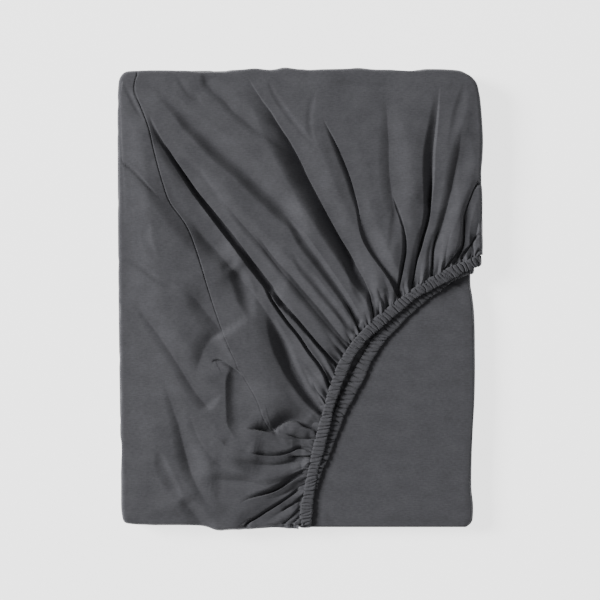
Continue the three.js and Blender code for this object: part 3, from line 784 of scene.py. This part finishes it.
def outer_hem():
    """The outer casing: up the packet's lower edge, along the gathered curve, down its right."""
    middle = (GATHER_LINE + FREE_EDGE) / 2
    top = np.column_stack([middle, hem_height(np.linspace(0, 1, len(middle)))])
    top = top[HEM_STEP:-HEM_STEP:HEM_STEP]
    x0 = middle[0, 0]
    y0 = OUTLINE[0, 1] + CASING_THICK
    x1 = OUTLINE[-1, 0] - CASING_THICK
    y1 = middle[-1, 1]
    # Where it hangs down the packet's lower edge, upwards, and then down its right-hand edge.
    lower = [(x0 + 0.4, y0, 1.5), (x0 + 0.2, y0, 8), (x0, y0 + 0.3, 12.5), (x0, y0 + 1.6, 16.4)]
    upper = [(x1 - 2, y1 + 0.8, 19.6), (x1, y1 + 1.2, 14), (x1, y1 + 1.2, 8), (x1, y1 + 1, 1.5)]
    down = [(0, -1, 0), (0, -1, 0), (0, -1, 0.15), (0, -0.7, 0.7)]
    out = [(0.7, 0, 0.7), (1, 0, 0.15), (1, 0, 0), (1, 0, 0)]
    centre = np.vstack([lower, top, upper])
    normal = np.vstack([down, np.tile(UP, (len(top), 1)), out])
    line = spline(np.hstack([centre, normal * NORMAL_WEIGHT]), 900)
    return casing("outer_hem", line[:, :3], line[:, 3:], CASING_HALF,
                  seed=11, count=2000, period=(2.4, 3.8))


# The inner hem: its free edge, from where it slides under the outer one to the right-hand edge.
INNER_FREE_PATH = [(311,522), (314,503), (320,478), (330,452), (340,427), (350,404), (360,385),
                   (370,365), (382,345), (400,324), (420,306), (440,290), (455,279), (472,273)]
INNER_FREE = spline(plan(INNER_FREE_PATH), 600)


def inward(curve, distance):
    """A plan curve moved sideways into the pocket."""
    return curve + left_of(unit(np.gradient(curve, axis=0))) * distance


INNER_START = 66  # how many points of its line the outer casing hides
INNER_END = 10  # how many are left for the turn down the right-hand edge
INNER_EDGE_X = 474.5  # where that edge is in the photograph


def inner_hem():
    """The inner casing: along its curve, and down the packet's right-hand edge."""
    middle = inward(INNER_FREE, INNER_HALF - 0.6)
    height = np.full(len(middle), INNER_HEM_Z)
    top = np.column_stack([middle, height])[INNER_START:-INNER_END:HEM_STEP]
    right = plan([(INNER_EDGE_X, 0)])[0, 0]
    y1 = middle[-1, 1]
    upper = [(right - 3.4, y1 + 0.2, 16.6), (right - 1.4, y1, 12), (right - 1.4, y1 - 0.3, 3)]
    out = [(0.7, 0, 0.7), (1, 0, 0.1), (1, 0, 0)]
    centre = np.vstack([top, upper])
    normal = np.vstack([np.tile(UP, (len(top), 1)), out])
    line = spline(np.hstack([centre, normal * NORMAL_WEIGHT]), 900)
    return casing("inner_hem", line[:, :3], line[:, 3:], INNER_HALF,
                  seed=23, count=1500, period=(3.0, 4.6))


INNER_COLUMNS = 500
INNER_ROWS = 40
INNER_REACH = 46  # how far the inner pocket's cloth goes in from its hem
INNER_LIP = 1.4  # how far it rises beside the casing
INNER_FALL = 2.4  # and falls behind that
INNER_SINK = 3  # how far it sinks by the lower end, where the outer pocket lies lower
INNER_CLEARANCE = 0.5  # the least height above the folded layers elsewhere


def inner_pocket():
    """The cloth of the inner pocket, from its hem to where the outer pocket hides it."""
    gather = resample(inward(INNER_FREE, 2 * INNER_HALF - 1), INNER_COLUMNS)
    reach = np.linspace(0, INNER_REACH, INNER_ROWS)
    side = left_of(unit(np.gradient(gather, axis=0)))
    grid = gather[:, None, :] + side[:, None, :] * reach[None, :, None]
    along = lengths(gather)[:, None]
    away = np.repeat(reach[None, :], INNER_COLUMNS, axis=0)
    folds = pleat_drop([INNER_PLEATS], np.repeat(along, INNER_ROWS, axis=1), away)
    height = INNER_HEM_Z + INNER_LIP * ramp(0, 5, away) - INNER_FALL * ramp(7, 16, away)
    height = np.maximum(height - folds * ramp(-1, 2, away), PANEL_TOP + INNER_CLEARANCE)
    low_end = ramp(0.42, 0.14, along / along[-1])
    height = height - INNER_SINK * low_end * ramp(0, 10, away)
    right = OUTLINE[-1, 0] - 6
    grid[..., 0] = np.minimum(grid[..., 0], right)
    return grid_object("inner_pocket", np.dstack([grid, height]), grid)


# The folded layers: one strip, four plies thick, folded back and forth across the packet.
RUNS = 8
PLIES = 4
RUN_PITCH = 2.0
PLY_PITCH = 0.46
RUN_FLOOR = 1.25  # middle of the lowest run
TURN_REACH = 1.75  # how far a turn bulges out past the ends of its runs

# How far each pair of runs stands back from the right-hand edge, and where its lower end is.
LAYER_INSET = [1.2, 0, 0.5, 1.3]
LAYER_LOW = [-181.6, -183, -182.4, -181.8, -181.2]

RIGHT_PATH = [(473,528), (474,517), (474,505), (472.4,490), (473,455), (474.4,430), (475.8,400),
              (476,340), (475,312), (473.4,297), (471.6,285), (471.6,270), (471,230), (471,72)]
LEFT_PATH = [(131,527), (126,400), (125,300), (125,72)]


UNDER_POCKET = 3.2  # how far the stack is pressed down below the outer pocket
CORNER_SHARE = 0.035  # of the strip's half width that its rounded corners take up
CORNER_SHARPNESS = 2.4
RIGHT_CORNER = 4.2
LEFT_CORNER = 6
LAYER_HIGH = 176  # where the lowest run's upper end is, and how much lower each next one's is
LAYER_HIGH_STEP = 0.3
LEFT_LIFT = 3.4  # how much higher the runs' lower ends are on the left, inside the pocket
STEPS_TOP = 110  # mesh steps along the top run, along the others and round each turn
STEPS_RUN = 9
STEPS_TURN = 9
STEPS_TOP_PLY = 150  # mesh steps across the first ply, across the others and round each turn
STEPS_PLY = 30
STEPS_PLY_TURN = 6
RUN_UV = 320  # in the flat pattern, from run to run, along a ply and from ply to ply
PLY_UV = 360
PLY_STEP_UV = 365
WHOLE_PACKET = 400


def edge_at(path, y):
    """Where an upright path is in X, at heights in the picture given as Y."""
    curve = spline(plan(path), 400)
    return np.interp(y, curve[:, 1], curve[:, 0])


def folded_layers():
    """The strip's mesh: along its path across the packet, and to and fro over its four plies."""
    # Steps along the path: run, share of the way across it, and quarter turns at its end.
    steps = []
    for run in range(RUNS):
        shares = np.linspace(0, 1, STEPS_TOP if run == RUNS - 1 else STEPS_RUN)
        steps += [(run, share, None) for share in shares]
        if run < RUNS - 1:
            steps += [(run, 1, turn) for turn in np.linspace(0, 1, STEPS_TURN)[1:-1]]
    # Steps across the strip: ply, and share of the way along it, with turns at its ends.
    across = []
    for ply in range(PLIES):
        forward = ply % 2 == 0
        shares = np.linspace(0, 1, STEPS_TOP_PLY if ply == 0 else STEPS_PLY)
        across += [(ply, share if forward else 1 - share, None) for share in shares]
        if ply < PLIES - 1:
            turns = np.linspace(0, 1, STEPS_PLY_TURN)[1:-1]
            across += [(ply, 1 if forward else 0, turn) for turn in turns]

    rng = np.random.default_rng(5)
    jitter = rng.uniform(-1, 1, (RUNS + 1, PLIES + 1, 4))
    points = np.zeros((len(steps), len(across), 3))
    pattern = np.zeros((len(steps), len(across), 2))

    ply = np.array([a[0] for a in across])
    share_y = np.array([a[1] for a in across], float)
    turning = np.array([-1 if a[2] is None else a[2] for a in across], float)
    half_turn = np.clip(turning, 0, 1) * math.pi
    turn_out = np.where(turning >= 0, np.sin(half_turn), 0)
    turn_rise = np.where(turning >= 0, (1 - np.cos(half_turn)) / 2, 0)
    offset = (ply + turn_rise - (PLIES - 1) / 2) * PLY_PITCH
    for i, (run, share_x, turn) in enumerate(steps):
        side = 1 if run % 2 == 0 else -1
        from_left = share_x if side == 1 else 1 - share_x
        low_y = LAYER_LOW[(run + 1) // 2] + 0.4 * jitter[run, ply, 0]
        low_y = low_y + LEFT_LIFT * ramp(0.5, 0.25, from_left)
        high_y = LAYER_HIGH - LAYER_HIGH_STEP * run + 0.5 * jitter[run, ply, 1]
        y = lerp(low_y, high_y, share_y)
        y = y + np.where(share_y > 0.5, 1, -1) * turn_out * PLY_PITCH / 2
        pair = run // 2
        corner = np.maximum(0, np.abs(2 * share_y - 1) - (1 - CORNER_SHARE)) / CORNER_SHARE
        corner = corner**CORNER_SHARPNESS
        inset = corner * RIGHT_CORNER + LAYER_INSET[pair]
        right = edge_at(RIGHT_PATH, y) - inset + 0.3 * np.sin(y / 23 + 2 * pair) - TURN_REACH
        left = edge_at(LEFT_PATH, y) + corner * LEFT_CORNER + 0.6 * np.sin(y / 31 + (run + 1) // 2)
        z = RUN_FLOOR + run * RUN_PITCH
        if turn is None:
            x = lerp(left, right, from_left)
            points[i] = np.column_stack([x, y, z + offset * side])
        else:
            angle = (turn - 0.5) * math.pi
            end = right if side == 1 else left
            radius = RUN_PITCH / 2 - offset * side
            x = end + side * radius * math.cos(angle)
            points[i] = np.column_stack([x, y, z + RUN_PITCH / 2 + radius * math.sin(angle)])
        pattern[i, :, 0] = points[i, :, 0] + RUN_UV * run
        pattern[i, :, 1] = share_y * PLY_UV + PLY_STEP_UV * ply

    # The creases and hollows of the top press the whole stack together.
    x, y, z = points.reshape(-1, 3).T
    hem = spline(GATHER_LINE[::20], 60)
    near, distance, inside, _ = nearest(hem, x, y, WHOLE_PACKET)
    relief = panel_relief(x, y)
    relief[near] -= UNDER_POCKET * np.where(inside, ramp(12, 45, distance), 0)
    pressed = z * (1 + relief * np.clip(z / PANEL_TOP, 0, 1) / PANEL_TOP)
    points[..., 2] = pressed.reshape(points.shape[:2])
    return grid_object("folded_layers", points, pattern)


# The creases of the smooth panel, as those of the pocket above.
PANEL_FOLDS = [Fold(*row) for row in (
    ("step by the hem's end", "valley", 3.6, 10, 1.4, 0.2, 0, 1,
     [(436,283), (447,282), (456,284), (464,287), (476,291)]),
    ("crease at the lower end", "valley", 0.9, 1.4, 3, 0.1, 0.2, 1,
     [(313,506), (325,511), (333,518), (338,526)]),
    ("crease beside it", "valley", 0.6, 1.2, 2, 0.2, 0.4, 1, [(315,512), (319,517), (321,522)]),
    ("faint line", "soft", 0.25, 4, 6, 0.3, 0.3, 1, [(325,462), (350,465), (375,472), (395,476)]),
    ("faint line above", "soft", 0.25, 3, 5, 0.3, 0.3, 1, [(420,288), (445,289), (460,295), (471,305)]),
    ("faint line below", "soft", 0.2, 4, 6, 0.3, 0.3, 1, [(340,480), (380,495), (430,500)]),
)]
PANEL_WAVES = [(0.1, 60, 21), (0.03, 18, 22)]
LOWER_ROLL = 0.9  # how far the panel rolls down at its lower edge
RIGHT_ROLL = 0.3  # and at its right-hand edge


def panel_relief(x, y):
    """Small hollows of the smooth panel, and how it rolls down to its lower and right edges."""
    drop = sum(fold_drop(fold, x, y)[0] for fold in PANEL_FOLDS)
    roll = LOWER_ROLL * ramp(9, 0, y + 181) ** 1.5 + RIGHT_ROLL * ramp(4, 0, 136 - x)
    return wave_sum(PANEL_WAVES, x, y) - drop - roll


DARK_GREY = (0.064, 0.064, 0.071, 1)
LIGHT_GREY = (0.096, 0.096, 0.106, 1)
MOTTLING_SCALE = 90
STREAK_SCALE = 760
THREAD_SCALE = 520
WEAVE_HEIGHT = 0.12


def cotton():
    """Dark grey cotton: a fine plain weave, faint streaks along the threads and soft mottling."""
    material = bpy.data.materials.new("cotton")
    material.use_nodes = True
    nodes, links = material.node_tree.nodes, material.node_tree.links
    shader = nodes["Principled BSDF"]
    shader.inputs["Roughness"].default_value = 0.86
    shader.inputs["Sheen Weight"].default_value = 0.12
    shader.inputs["Sheen Roughness"].default_value = 0.5
    shader.inputs["Specular IOR Level"].default_value = 0.25
    pattern = nodes.new("ShaderNodeUVMap")
    pattern.uv_map = "pattern"

    def scaled(x, y):
        mapping = nodes.new("ShaderNodeMapping")
        mapping.inputs["Scale"].default_value = (x, y, 1)
        links.new(pattern.outputs["UV"], mapping.inputs["Vector"])
        return mapping.outputs["Vector"]

    def noise(vector, scale, detail):
        texture = nodes.new("ShaderNodeTexNoise")
        texture.inputs["Scale"].default_value = scale
        texture.inputs["Detail"].default_value = detail
        links.new(vector, texture.inputs["Vector"])
        return texture.outputs["Fac"]

    def mix(a, b, factor):
        blend = nodes.new("ShaderNodeMix")
        blend.inputs["Factor"].default_value = factor
        links.new(a, blend.inputs["A"])
        links.new(b, blend.inputs["B"])
        return blend.outputs["Result"]

    mottling = noise(scaled(0.6, 1), MOTTLING_SCALE, 5)
    streaks = noise(scaled(0.4, 1.3), STREAK_SCALE, 3)
    upright = noise(scaled(1.3, 0.5), STREAK_SCALE, 3)
    fleck = mix(mix(streaks, upright, 0.3), mottling, 0.35)
    colours = nodes.new("ShaderNodeValToRGB")
    colours.color_ramp.elements[0].position = 0.35
    colours.color_ramp.elements[0].color = DARK_GREY
    colours.color_ramp.elements[1].position = 0.65
    colours.color_ramp.elements[1].color = LIGHT_GREY
    links.new(fleck, colours.inputs["Fac"])
    links.new(colours.outputs["Color"], shader.inputs["Base Color"])

    def threads(direction):
        wave = nodes.new("ShaderNodeTexWave")
        wave.bands_direction = direction
        wave.inputs["Scale"].default_value = THREAD_SCALE
        wave.inputs["Distortion"].default_value = 0.6
        links.new(pattern.outputs["UV"], wave.inputs["Vector"])
        return wave.outputs["Fac"]

    weave = mix(mix(threads("X"), threads("Y"), 0.5), fleck, 0.5)
    bump = nodes.new("ShaderNodeBump")
    bump.inputs["Strength"].default_value = 0.25
    bump.inputs["Distance"].default_value = WEAVE_HEIGHT * MM
    links.new(weave, bump.inputs["Height"])
    links.new(bump.outputs["Normal"], shader.inputs["Normal"])
    return material


LENS = 110
SENSOR = 36
FRAMED_HEIGHT = 0.016  # metres above the surface at which the frame has the photograph's width


def camera():
    """Straight above the packet, with the photograph's frame at the height of its edges."""
    data = bpy.data.cameras.new("camera")
    data.lens = LENS
    data.sensor_width = SENSOR
    view = bpy.data.objects.new("camera", data)
    width = PHOTO_SIZE * PX * MM
    middle = plan([(PHOTO_SIZE / 2, PHOTO_SIZE / 2)])[0] * MM
    view.location = (middle[0], middle[1], FRAMED_HEIGHT + width * data.lens / data.sensor_width)
    bpy.context.scene.collection.objects.link(view)
    bpy.context.scene.camera = view


def light(name, place, size, power):
    data = bpy.data.lights.new(name, "AREA")
    data.shape = "RECTANGLE"
    data.size, data.size_y = size
    data.energy = power
    lamp = bpy.data.objects.new(name, data)
    lamp.location = place
    direction = -lamp.location.normalized()
    lamp.rotation_euler = direction.to_track_quat("-Z", "Y").to_euler()
    bpy.context.scene.collection.objects.link(lamp)


FLOOR_SIZE = 6
FLOOR_GLOW = 2.2
KEY_PLACE = (-4.05, 1.25, 2.6)
KEY_SIZE = (1.6, 1.6)
KEY_POWER = 370
SKY_STRENGTH = 0.24


def studio():
    """A white table, a broad soft light from the left and an even glow all round."""
    bpy.ops.mesh.primitive_plane_add(size=FLOOR_SIZE, location=(0, 0, 0))
    floor = bpy.context.object
    floor.name = "floor"
    paint = bpy.data.materials.new("white_table")
    paint.use_nodes = True
    shader = paint.node_tree.nodes["Principled BSDF"]
    shader.inputs["Base Color"].default_value = (0.9, 0.9, 0.9, 1)
    shader.inputs["Roughness"].default_value = 0.9
    shader.inputs["Emission Color"].default_value = (1, 1, 1, 1)
    shader.inputs["Emission Strength"].default_value = FLOOR_GLOW
    floor.data.materials.append(paint)
    light("key", KEY_PLACE, KEY_SIZE, KEY_POWER)
    world = bpy.data.worlds.new("studio")
    world.use_nodes = True
    sky = world.node_tree.nodes["Background"]
    sky.inputs["Color"].default_value = (1, 1, 1, 1)
    sky.inputs["Strength"].default_value = SKY_STRENGTH
    bpy.context.scene.world = world


camera()
studio()

lower_panel = panel("lower_panel", LOWER_GUIDES, rows=250, columns=340, seam_gap=5)
upper_panel = panel("upper_panel", UPPER_GUIDES, rows=128, columns=640, seam_gap=0)
layers = folded_layers()
inner = inner_pocket()
outer_casing = outer_hem()
inner_casing = inner_hem()

cloth = cotton()
for piece in (lower_panel, upper_panel, layers, inner, outer_casing, inner_casing):
    piece.data.materials.append(cloth)
    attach(piece, "root")
    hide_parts("sheet")
